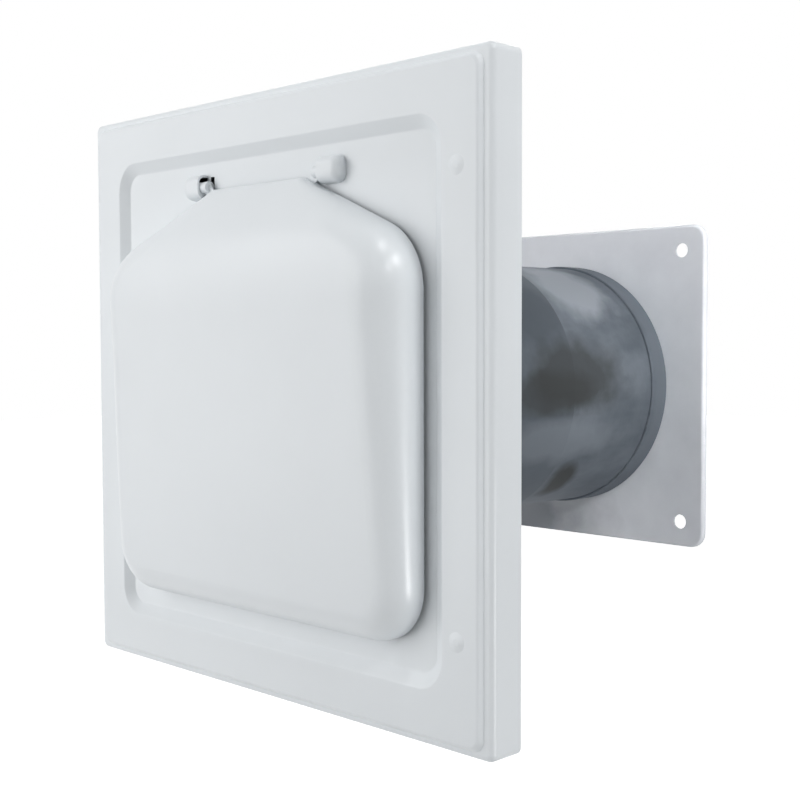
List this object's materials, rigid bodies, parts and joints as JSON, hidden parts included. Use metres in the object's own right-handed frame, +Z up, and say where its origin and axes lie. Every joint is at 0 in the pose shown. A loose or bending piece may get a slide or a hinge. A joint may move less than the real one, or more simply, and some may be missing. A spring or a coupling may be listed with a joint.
{
  "type": "dryer vent cap",
  "caption": "Through-wall dryer vent: square stamped face plate with a hinged hood-shaped flap, a telescoping round duct and a square rear plate with screw holes.",
  "frame": {"origin": "on the duct's axis, in the plane where the face plate's skirt meets the outside of the wall", "axes": "+X to the right seen from outside, +Y along the duct into the wall, +Z up"},
  "size_m": [0.2104, 0.1923, 0.2104],
  "materials": {
    "white_paint": "satin white powder coat",
    "white_paint_flap": "satin white powder coat",
    "galvanised_front": "galvanised sheet with a fine spangle",
    "galvanised_rear": "galvanised sheet with a fine spangle",
    "grey_plate": "satin zinc-coated sheet"
  },
  "bodies": {
    "housing": {"face_plate": "white_paint", "front_tube": "galvanised_front"},
    "flap": {"damper_flap": "white_paint_flap"},
    "rear": {"rear_sleeve": "galvanised_rear", "rear_plate": "grey_plate"}
  },
  "joints": [
    {"name": "flap_hinge", "type": "hinge", "parent": "housing", "child": "flap", "pos_m": [0, -0.01355, 0.0744], "axis": [-1, 0, 0], "range_deg": [0, 90]},
    {"name": "rear_slide", "type": "slide", "parent": "housing", "child": "rear", "axis": [0, 1, 0], "range_m": [-0.05, 0.025]}
  ]
}
